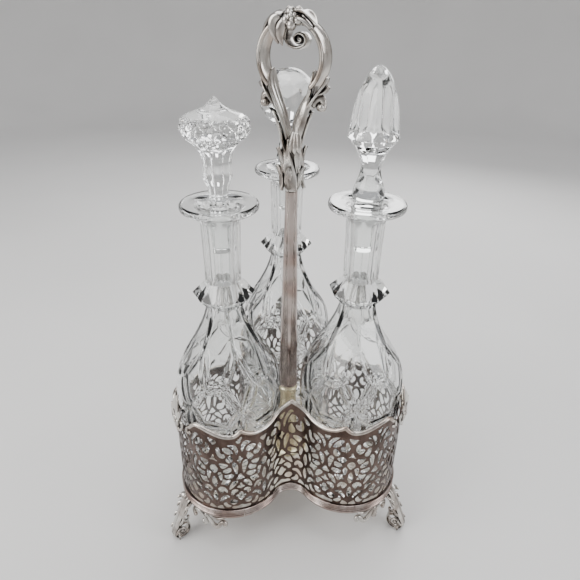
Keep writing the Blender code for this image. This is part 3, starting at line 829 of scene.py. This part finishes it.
def handle_stems():
    """Two hollow-faced strap leaves that part above the boss and lap over the loop's ends."""
    for side, sign in (("left", -1), ("right", 1)):
        path = smooth(upright([(1.2, 340), (2.6, 350), (4.6, 360), (8.0, 371), (12.2, 381),
                               (15.0, 388.5), (16.2, 395), (15.6, 400.6)], sign), 6)

        def strap(t):
            wide = mix(4.2, 7.4, ease(t * 1.3)) * math.sqrt(max(0.03,
                                                                1 - max(0, (t - 0.72) / 0.285) ** 2))
            deep = mix(3.4, 2.2, ease(t * 1.2)) * (1 if t < 0.8 else mix(1, 0.5, (t - 0.8) * 5))
            found = []
            for i in range(40):
                a = math.tau * i / 40
                hollow = 0.62 * math.exp(-((math.cos(a) / 0.62) ** 4))
                vein = 0.16 * math.exp(-((math.cos(a) / 0.12) ** 2))
                found.append((wide * math.cos(a), deep * (1 - hollow + vein) * math.sin(a)))
            return found

        shape = Shape().sweep(path, (0, 1, 0), strap)
        lap = smooth(upright([(8.0, 371), (14.4, 379.4), (19.4, 386.2), (23.0, 391.6),
                              (25.4, 397)], sign), 6)
        shape.sweep(lap, (0, 1, 0), tapered_leaf(7.6, 0.3, 0.96, 1.4, 0.1, 0.3))
        fold = smooth(mirrored([(1.5, -4.4, 343), (4.4, -5.4, 350), (6.6, -5.6, 358),
                                (9.4, -5.4, 366), (13.0, -5.0, 373.4)], sign), 6)
        shape.sweep(fold, (sign * 0.6, 0.8, 0), tapered_leaf(3.4, 0.2, 0.95, 1.1, -0.2, 0.25))
        back = [Vector((p.x, -p.y, p.z)) for p in fold]
        shape.sweep(back, (sign * 0.6, -0.8, 0), tapered_leaf(3.4, 0.2, 0.95, 1.1, 0.2, 0.25))
        if side == "right":
            draped_leaf(shape)
        casting(f"leaf_stem_{side}", shape, f"handle_stem_{side}")


def draped_leaf(shape):
    """A ribbed leaf laid down the front of a stem, its end divided into three rounded lobes."""
    line = smooth([(13.4, -4.6, 384.5), (11.2, -5.8, 377), (8.6, -6.6, 368.5), (6.8, -7.0, 360),
                   (6.0, -6.8, 352.5)], 6)
    shape.sweep(line, (1, -0.15, 0.3), tapered_leaf(5.0, 0.16, 0.86, 1.5, 0.12, 0.4))
    for k in (-1, 0, 1):
        lobe = smooth([(6.4 + k * 1.5, -7.2, 361), (6.2 + k * 2.6, -8.2, 354.5),
                       (6.0 + k * 3.3, -8.4, 348.5 + abs(k)),
                       (6.0 + k * 3.4, -7.0, 345.6 + abs(k))], 5)
        shape.sweep(lobe, (1, 0, 0), tapered_leaf(2.3, 0.3, 0.86, 1.3, 0.1, 0.2))


def handle_boss():
    """A knot of long leaves that wind down round the column's top, over a collar of upturned tips."""
    low, high = box_mm("handle_boss")
    shape = Shape()
    core = smooth([(4.8, low.z), (5.6, low.z + 4), (5.8, low.z + 12), (6.2, low.z + 22),
                   (6.0, high.z + 2), (3.5, high.z + 8)], 5)
    shape.turned([tuple(p) for p in core], 64)
    winding = ((0, 4.4), (0.2, 6.0), (0.45, 7.0), (0.7, 7.4), (0.88, 8.4), (1, 9.8))
    upturned = ((0, 5.4), (0.3, 7.4), (0.6, 8.4), (0.85, 9.4), (1, 10.6))
    kinds = ((5, -2.2, 1.5, 354, low.z + 2.0, 4.3, winding),
             (5, -1.6, 0.3, low.z + 3.0, 336, 3.2, upturned),
             (4, -1.9, -0.5, 327, 349, 2.7, upturned))
    for count, start, twist, z_first, z_last, half_width, route in kinds:
        for i in range(count):
            line = []
            for t, reach in route:
                a = start + math.tau * i / count + twist * t
                line.append((reach * math.cos(a), reach * math.sin(a), mix(z_first, z_last, t)))
            path = smooth(line, 5)
            across = [Vector((-p.y, p.x, 0)) for p in path]
            shape.sweep(path, across, tapered_leaf(half_width, 0.22, 0.96, 1.3, -0.2, 0.42))
    casting("leafy_boss", shape, "handle_boss")


def handle_flower():
    """A plump rose on top of the loop: five rolled petals round four smaller ones and a button."""
    shape = Shape()
    centre = Vector((2.6, -7.4, TOP - 6.7))
    facing = Vector((0, -0.9, 0.436))
    right = Vector((1, 0, 0))
    up = right.cross(facing) * -1
    for count, start, reach, radius, rise in ((5, 0.95, 4.5, 3.3, 0.0), (4, 0.3, 2.1, 1.75, 2.1)):
        for i in range(count):
            a = start + math.tau * i / count
            out = right * math.cos(a) + up * math.sin(a)
            across = facing.cross(out)
            petal = centre + facing * rise + out * reach
            shape.ball(petal, radius, rows=10, count=18)
            line = []
            for k in (-1.1, -0.55, 0, 0.55, 1.1):
                rolled = petal + across * k * radius * 0.8 - out * (abs(k) - 1) * radius * 0.75
                line.append(rolled + facing * radius * 0.5)

            def edge(t):
                return ring_of(radius * 0.26 * math.sin(math.pi * mix(0.2, 0.8, t)), 10)

            shape.sweep(smooth(line, 4), facing, edge)
    shape.ball(centre + facing * 3.4, 1.5)
    shape.ball((0, -0.4, TOP - 7.0), 5.2, (1.15, 1.3, 0.8))
    for vert in shape.verts:
        vert.z = min(vert.z, TOP - 0.02)
    casting("wild_rose", shape, "handle_rose")


def handle_leaves():
    """A leaf on each side of the rose: the left one folds down into the loop, the right lies on it."""
    for side, sign in (("left", -1), ("right", 1)):
        shape = Shape()
        reach = (10, 20, 32, 44, 54) if side == "left" else (10, 18, 26, 34, 42)
        angles = [math.radians(90 - sign * a) for a in reach]
        lift = (3.0, 4.4, 3.8, 2.9, 1.8)
        spine = smooth([loop_point(a, r, -3.5) for a, r in zip(angles, lift)], 5)
        shape.sweep(spine, (0, 1, 0), tapered_leaf(7.6, 0.3, 0.96, 1.4, -0.2, 0.3))
        if side == "left":
            drops = (((-6, -9.5, 431.5), (-9.6, -10.4, 428.4), (-9.8, -10.2, 424),
                      (-8.4, -9.4, 419.4), (-7.0, -8.6, 415.6)),
                     ((-2.5, -9.5, 429), (-4.4, -10.0, 424.8), (-5.2, -9.4, 419.8),
                      (-4.2, -8.4, 414.8)))
        else:
            drops = (((5.5, -8.2, 431.0), (9.2, -8.9, 430.6), (12.6, -8.9, 428.4),
                      (15.8, -8.5, 424.6)),)
        for drop in drops:
            side_way = (1, 0.5, 0) if side == "left" else (0, 1, 0)
            shape.sweep(smooth(drop, 6), side_way, tapered_leaf(3.4, 0.26, 0.96, 1.2, 0.15, 0.2))
        for vert in shape.verts:
            vert.z = min(vert.z, TOP - 0.1)
        casting(f"folded_leaf_{side}", shape, f"handle_leaf_{side}")


def handle_frond():
    """A fern crozier that leaves the loop at the right and curls inside it."""
    route = [(9, 427.6), (4.6, 427.8), (-0.6, 426.1), (-3.8, 422.7), (-4.2, 418.4), (-1.4, 414.9),
             (3.8, 413.6), (8.6, 415.2), (10, 418.6), (7.8, 421.4), (4, 421.6), (1.6, 419.3),
             (2.8, 417), (5.8, 416.8), (6.6, 418.6), (4.9, 419.3)]
    path = smooth(upright(route), 6)
    shape = Shape().sweep(path, (0, 1, 0),
                          lambda t: leaf_section(mix(6.4, 3.6, t), mix(1.7, 0.8, t), 0.0, 0.16))
    shape.ball((4.9, 0, 419.2), 1.5, (1, 2.2, 1))
    casting("curled_frond", shape, "handle_frond")


def handle_buds():
    """A bud on a curled stalk beside each of the loop's ends, under a pointed leaf."""
    for side, sign in (("left", -1), ("right", 1)):
        shape = Shape()
        stalk = smooth(upright([(14.6, 378.5), (18.0, 382.2), (21.4, 383.0), (23.2, 380.2),
                                (22.4, 377.4)], sign), 5)
        shape.sweep(stalk, (0, 1, 0), tapered_rod(2.4, 1.5, 14, 1.4))
        for i in range(5):
            a = math.tau * i / 5
            shape.ball((sign * 21.8 + 1.3 * math.cos(a), 1.6 * math.sin(a), 377.6), 2.3, (1, 1, 1.2))
        leaf = smooth(upright([(15.6, 383.4), (20.0, 386.4), (23.6, 388.0), (26.6, 391.0)], sign), 5)
        shape.sweep(leaf, (0, 1, 0), tapered_leaf(5.6, 0.25, 0.97, 1.2, 0.2, 0.25))
        casting(f"bud_and_leaf_{side}", shape, f"handle_bud_{side}")


# ---- cut glass


def facet_angle(angle, count, turn=0.0):
    """Angle from the middle of the nearest of this many facets."""
    step = math.tau / count
    return (angle - turn + step / 2) % step - step / 2


def sliced(angle, radius, count, depth, turn=0.0):
    """Radius after this many flat cuts, each this share of the radius deep at its middle."""
    return min(radius, radius * (1 - depth) / math.cos(facet_angle(angle, count, turn)))


def fluted(angle, radius, count, depth, turn=0.0):
    """Radius after hollow flutes that meet in sharp ridges."""
    share = facet_angle(angle, count, turn) / (math.pi / count)
    return radius * (1 - depth * (1 - share**2))


PANELS_ROUND = 6  # tall slices round the shoulder, and a hexagon under each
OLIVES = [  # cuts in one panel: (degrees from its middle, height) of each end
    ((-10.5, 131), (10.5, 131)),
    ((10.5, 131), (29.5, 109)),
    ((29.5, 109), (14, 95)),
    ((-14, 95), (14, 95)),
    ((10.5, 131), (27, 153)),
    ((30, 107), (30, 88)),
]
OLIVE_HALF_WIDTH = 3.1
OLIVE_DEPTH = 1.5
RING_TURN = math.radians(-7.5)
STAR_POINTS = 16  # of the star cut under the base
STAR_DEPTH = 2.6
BODY_RADIUS = 43.0
NECK_TOP = 257.5  # the cutting ends here, under the lip


def olive_depth(angle, height):
    """How deep the long leaf-shaped cuts of the hexagons are at a point."""
    x = facet_angle(angle, PANELS_ROUND) * BODY_RADIUS
    deepest = 0.0
    for (a, z), (b, w) in OLIVES:
        for sign in (1, -1):
            start = Vector((sign * math.radians(a) * BODY_RADIUS, z))
            end = Vector((sign * math.radians(b) * BODY_RADIUS, w))
            along = end - start
            here = Vector((x, height)) - start
            t = here.dot(along) / along.length_squared
            if -0.04 < t < 1.04:
                across = abs(here.cross(along)) / along.length
                share = across / (OLIVE_HALF_WIDTH * max(0.05, 1 - abs(2.0 * t - 1.0) ** 2.2) ** 0.5)
                if share < 1:
                    deepest = max(deepest, OLIVE_DEPTH * (1 - share**2) * (1 - 0.5 * abs(2 * t - 1)))
    return deepest


def cut_decanter(angle, radius, height):
    """Hexagons round the body, slices up the shoulder, a bladed ring and a fluted neck."""
    if radius < 12.4 or height > NECK_TOP or height < 5:
        return radius
    if 186.3 < height < 207:
        return sliced(angle, radius, 8, 0.076, RING_TURN)
    if height >= 207:
        fade = ease((NECK_TOP - height) / 5)
        return fluted(angle, radius, 8, 0.1 * fade, RING_TURN)
    if height > 122:
        radius = sliced(angle, radius, PANELS_ROUND, 0.125 * ease((height - 126) / 34))
    if 84 < height < 160:
        radius -= olive_depth(angle, height)
    return radius


def rows(points, spacing):
    """A smooth profile through the points, with rows about this far apart."""
    line = smooth(points, 12)
    found = [line[0]]
    for point in line[1:-1]:
        if (point - found[-1]).length >= spacing:
            found.append(point)
    found.append(line[-1])
    return [tuple(p) for p in found]


def decanter_mesh():
    outside = rows([(0.4, 1.4), (24, 1.2), (33, 0.4), (35.6, 0), (37.4, 0.8), (38.1, 3)], 1.5)
    outside += rows([(38.1, 3), (38.4, 12), (40.8, 50), (42.6, 76), (43.2, 84)], 3)[1:]
    outside += rows([(43.2, 84), (43.9, 95), (43.6, 110), (41.2, 125), (34.8, 140), (26.4, 155),
                     (19.6, 169), (15.8, 180), (14.4, 186.3)], 0.8)[1:]
    outside += rows([(14.4, 186.4), (19.2, 191.6), (23.5, 196.4)], 1.2)
    outside += rows([(23.7, 196.8), (23.5, 197.2), (18.6, 202.1), (13.6, 206.9)], 1.2)
    outside += rows([(13.6, 207.1), (13.5, 215), (13.9, 240), (14.4, 257)], 2)
    outside += rows([(14.5, 257.6), (15.5, 258.3), (15.9, 260), (16.2, 261.6), (18.5, 262.3)], 0.5)
    outside += rows([(18.5, 262.3), (25.4, 262.4), (27.6, 263.4), (28.0, 265.2), (27.7, 267.0),
                     (26.4, 268)], 0.5)[1:]
    outside += rows([(26.4, 268), (19, 267.8), (15, 267.0), (11.6, 265.2), (10.2, 262.6),
                     (9.7, 260)], 0.8)[1:]
    inside = rows([(9.6, 259), (8.8, 232), (8.6, 205), (9.4, 186)], 4)
    inside += rows([(9.4, 186), (12.6, 173), (20, 157), (28.6, 142), (35.4, 127), (38.9, 112),
                    (39.8, 95), (38.6, 70), (36.8, 40), (35.2, 15), (32, 9.4), (24, 8.2),
                    (0.4, 8)], 2.5)[1:]
    shape = Shape().turned(outside + inside, 240, cut_decanter)
    for vert in shape.verts:
        reach = vert.to_2d().length
        if reach < 32 and vert.z < 2:
            share = abs(facet_angle(math.atan2(vert.y, vert.x),
                                    STAR_POINTS)) / (math.pi / STAR_POINTS)
            vert.z += STAR_DEPTH * (1 - share) * math.sin(math.pi * min(1, reach / 32))
    mesh = bpy.data.meshes.new("cut_decanter")
    mesh.from_pydata([v * MM for v in shape.verts], [], shape.faces)
    return mesh


def decanters():
    master = decanter_mesh()
    for side in SIDES:
        mesh = master.copy()
        mesh.transform(Matrix.Scale(MM, 4) @ bottle_place(side) @ Matrix.Scale(1 / MM, 4))
        name = f"decanter_{side}"
        dressed(f"cut_{name}", mesh, GLASS, f"{name}_body", [name], 24)


PLUG = [(0.4, 231.8), (7.4, 231.8), (8.0, 232.4), (8.6, 245), (9.1, 258), (9.2, 261.4)]


def cut_mushroom(angle, radius, height):
    """Flutes up the stem, crossed cuts that leave diamonds round the brim, and a plain pointed dome."""
    if height < 262 or radius < 2:
        return radius
    if height < 311:
        return fluted(angle, radius, 8, 0.15 * ease((height - 262) / 4))
    band = ease((height - 311) / 1.5) * ease((325.8 - height) / 1.5)
    groove = 0.0
    for lean in (1, -1):
        step = (angle * 14 / math.tau + lean * (height - 318.4) / 9.2) % 1
        groove = max(groove, 1 - min(step, 1 - step) / 0.42)
    return radius - 1.9 * max(0, groove) * band


def cut_spire(angle, radius, height):
    """Ten long flutes that start in points round the widest part, and flats below them."""
    if height < 284 or radius < 2:
        return radius
    if height < 312.2:
        return sliced(angle, radius, 10, 0.049 * ease((height - 284) / 8), math.pi / 10)
    return fluted(angle, radius, 10, 0.12 * ease((height - 311.5) / 6) * ease((350 - height) / 18))


BALL_CENTRE = Vector((0, 0, 323.6))
BALL_FACETS = [(90, 1, 20.6, 0), (50, 8, 20.9, 0), (12, 8, 21.6, 0.5), (-26, 8, 21.4, 0)]


def cut_ball(angle, radius, height):
    """Large flat facets in rows round the ball, and flats down its stem."""
    if height < 262:
        return radius
    if height < 306:
        return sliced(angle, radius, 8, 0.076 * ease((height - 264) / 5))
    here = Vector((radius * math.cos(angle), radius * math.sin(angle), height)) - BALL_CENTRE
    share = 1.0
    for latitude, count, reach, shift in BALL_FACETS:
        lat = math.radians(latitude)
        for i in range(count):
            a = math.tau * (i + shift) / count
            normal = Vector((math.cos(lat) * math.cos(a), math.cos(lat) * math.sin(a), math.sin(lat)))
            along = here.dot(normal)
            if along > 0:
                share = min(share, reach / along)
    return radius * share


def stoppers():
    mushroom = PLUG + rows([(9.2, 261.4), (7.2, 263), (6.6, 267), (6.7, 274), (7.8, 279.5),
                            (10.2, 285.4), (9.9, 289), (9.8, 295), (11.4, 302), (15.2, 307.4),
                            (20.8, 312.0), (23.3, 316.4), (23.5, 320.5), (21.6, 324.6)], 0.6)[1:]
    mushroom += rows([(21.6, 324.6), (15.6, 327.2), (9.4, 329.4), (5.2, 332.0), (2.6, 334.8),
                      (1.0, 336.4), (0.3, 336.8)], 0.6)[1:]
    spire = PLUG + rows([(9.2, 261.4), (10.4, 264.5), (11.2, 270), (11.0, 276), (8.4, 284),
                         (6.9, 290), (7.7, 296), (10.4, 302.4), (16.2, 310.4),
                         (17.5, 312.2)], 0.7)[1:]
    spire += rows([(17.5, 312.2), (17.0, 318), (15.9, 326), (14.2, 334.5), (11.0, 343.5),
                   (7.0, 350.6), (3.2, 354.6), (0.4, 355.9)], 0.7)[1:]
    ball = PLUG + rows([(9.2, 261.4), (9.0, 264), (9.8, 268), (9.8, 274), (7.8, 282), (7.0, 290),
                        (7.6, 297), (11, 303.4), (17.4, 309)], 0.7)[1:]
    steps = [math.radians(d) for d in range(-38, 90, 2)]
    ball += [(23.7 * math.cos(a), BALL_CENTRE.z + 22.4 * math.sin(a)) for a in steps]
    ball.append((0.4, BALL_CENTRE.z + 22.4))
    kinds = (("left", mushroom, cut_mushroom, 16), ("right", spire, cut_spire, 16),
             ("back", ball, cut_ball, 8))
    for side, profile, cut, sharp in kinds:
        name = STOPPERS[side]
        shape = Shape().turned(profile, 240, cut)
        piece(f"cut_{name}", shape, GLASS, f"{name}_body", [name], bottle_place(side), sharp)


# ---- stage, light and camera


def stage():
    """A pale floor that curves up into a low wall all round."""
    bend = [math.radians(9 * i) for i in range(1, 11)]
    profile = [(0.5, 0), (150, 0), (600, 0), (1900, 0)]
    profile += [(1900 + 600 * math.sin(a), 600 - 600 * math.cos(a)) for a in bend]
    profile += [(2500, 1900)]
    shape = Shape().turned(profile, 96)
    shape.faces = shape.faces[:-1]
    mesh = bpy.data.meshes.new("pale_floor")
    mesh.from_pydata([v * MM for v in shape.verts], [], shape.faces)
    mesh.shade_smooth()
    made = Nodes("pale_paper")
    tint = made.ramp(made.noise(3, 2), [(0.3, (0.68, 0.675, 0.665)), (0.7, (0.72, 0.715, 0.705))])
    made.join(tint, made.shader.inputs["Base Color"])
    made.shader.inputs["Roughness"].default_value = 0.85
    mesh.materials.append(made.material)
    floor = bpy.data.objects.new("pale_floor", mesh)
    bpy.context.scene.collection.objects.link(floor)


def area_light(name, place, target, size, power, colour=(1, 1, 1)):
    light = bpy.data.lights.new(name, "AREA")
    light.shape = "RECTANGLE"
    light.size, light.size_y = size
    light.energy = power
    light.color = colour
    obj = bpy.data.objects.new(name, light)
    bpy.context.scene.collection.objects.link(obj)
    obj.location = place
    obj.rotation_euler = (Vector(target) - Vector(place)).to_track_quat("-Z", "Y").to_euler()


def lights():
    """A window on the left, a ceiling panel and two weaker panels, in a room that is darker low down."""
    aim = (0, 0, 0.2)
    area_light("window", (-1.1, -0.5, 0.9), aim, (0.9, 1.2), 17, (1, 0.985, 0.96))
    area_light("ceiling", (0.1, 0.2, 1.5), aim, (1.2, 1.2), 13)
    area_light("fill", (1.2, -0.6, 0.6), aim, (0.5, 1.1), 8, (0.97, 0.98, 1))
    area_light("behind", (0.5, 1.0, 0.7), aim, (0.9, 0.5), 7)
    world = bpy.data.worlds.new("soft_room")
    bpy.context.scene.world = world
    world.use_nodes = True
    tree = world.node_tree
    direction = tree.nodes.new("ShaderNodeTexCoord")
    height = tree.nodes.new("ShaderNodeSeparateXYZ")
    ramp = tree.nodes.new("ShaderNodeValToRGB")
    stops = ((0.0, 0.10), (0.12, 0.07), (0.35, 0.22), (0.6, 0.5), (1.0, 0.62))
    elements = ramp.color_ramp.elements
    while len(elements) < len(stops):
        elements.new(0.5)
    for element, (position, grey) in zip(elements, stops):
        element.position = position
        element.color = (grey, grey, grey * 1.04, 1)
    tree.links.new(direction.outputs["Generated"], height.inputs["Vector"])
    tree.links.new(height.outputs["Z"], ramp.inputs["Fac"])
    tree.links.new(ramp.outputs["Color"], tree.nodes["Background"].inputs["Color"])


CAMERA_FROM_COLUMN = Vector((-24.2, -365.9, 434.1))
CAMERA_YAW = math.radians(3.83)
CAMERA_PITCH = math.radians(29.11)
CAMERA_ROLL = math.radians(1.02)
CAMERA_LENS = 31.03  # on a sensor 36 mm wide


def camera():
    """Standing in front, a little above the handle, and looking down."""
    right = Vector((math.cos(CAMERA_YAW), -math.sin(CAMERA_YAW), 0))
    ahead = Vector((math.sin(CAMERA_YAW) * math.cos(CAMERA_PITCH),
                    math.cos(CAMERA_YAW) * math.cos(CAMERA_PITCH), -math.sin(CAMERA_PITCH)))
    up = right.cross(ahead)
    tilted_right = right * math.cos(CAMERA_ROLL) + up * math.sin(CAMERA_ROLL)
    tilted_up = up * math.cos(CAMERA_ROLL) - right * math.sin(CAMERA_ROLL)
    data = bpy.data.cameras.new("camera")
    data.lens = CAMERA_LENS
    data.sensor_width = 36
    data.clip_start = 0.01
    obj = bpy.data.objects.new("camera", data)
    bpy.context.scene.collection.objects.link(obj)
    turn = Matrix((tilted_right, tilted_up, -ahead)).transposed()
    place = (Vector((*COLUMN, 0)) + CAMERA_FROM_COLUMN) * MM
    obj.matrix_world = Matrix.Translation(place) @ turn.to_4x4()
    bpy.context.scene.camera = obj


def carried_over():
    """CAD nodes whose shape is right, with a better finish."""
    finishes = {"base_plate": FLOOR_PLATE, "centre_rod": STEEL, "base_washer": STEEL,
                "base_nut": STEEL}
    for node, finish in finishes.items():
        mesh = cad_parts[node].data
        mesh.materials.clear()
        mesh.materials.append(finish)


camera()
lights()
stage()
carried_over()
gallery()
rims()
base_bands()
side_ornaments()
scroll_feet()
foot_scrolls()
column()
handle_loop()
handle_stems()
handle_boss()
handle_flower()
handle_leaves()
handle_frond()
handle_buds()
decanters()
stoppers()
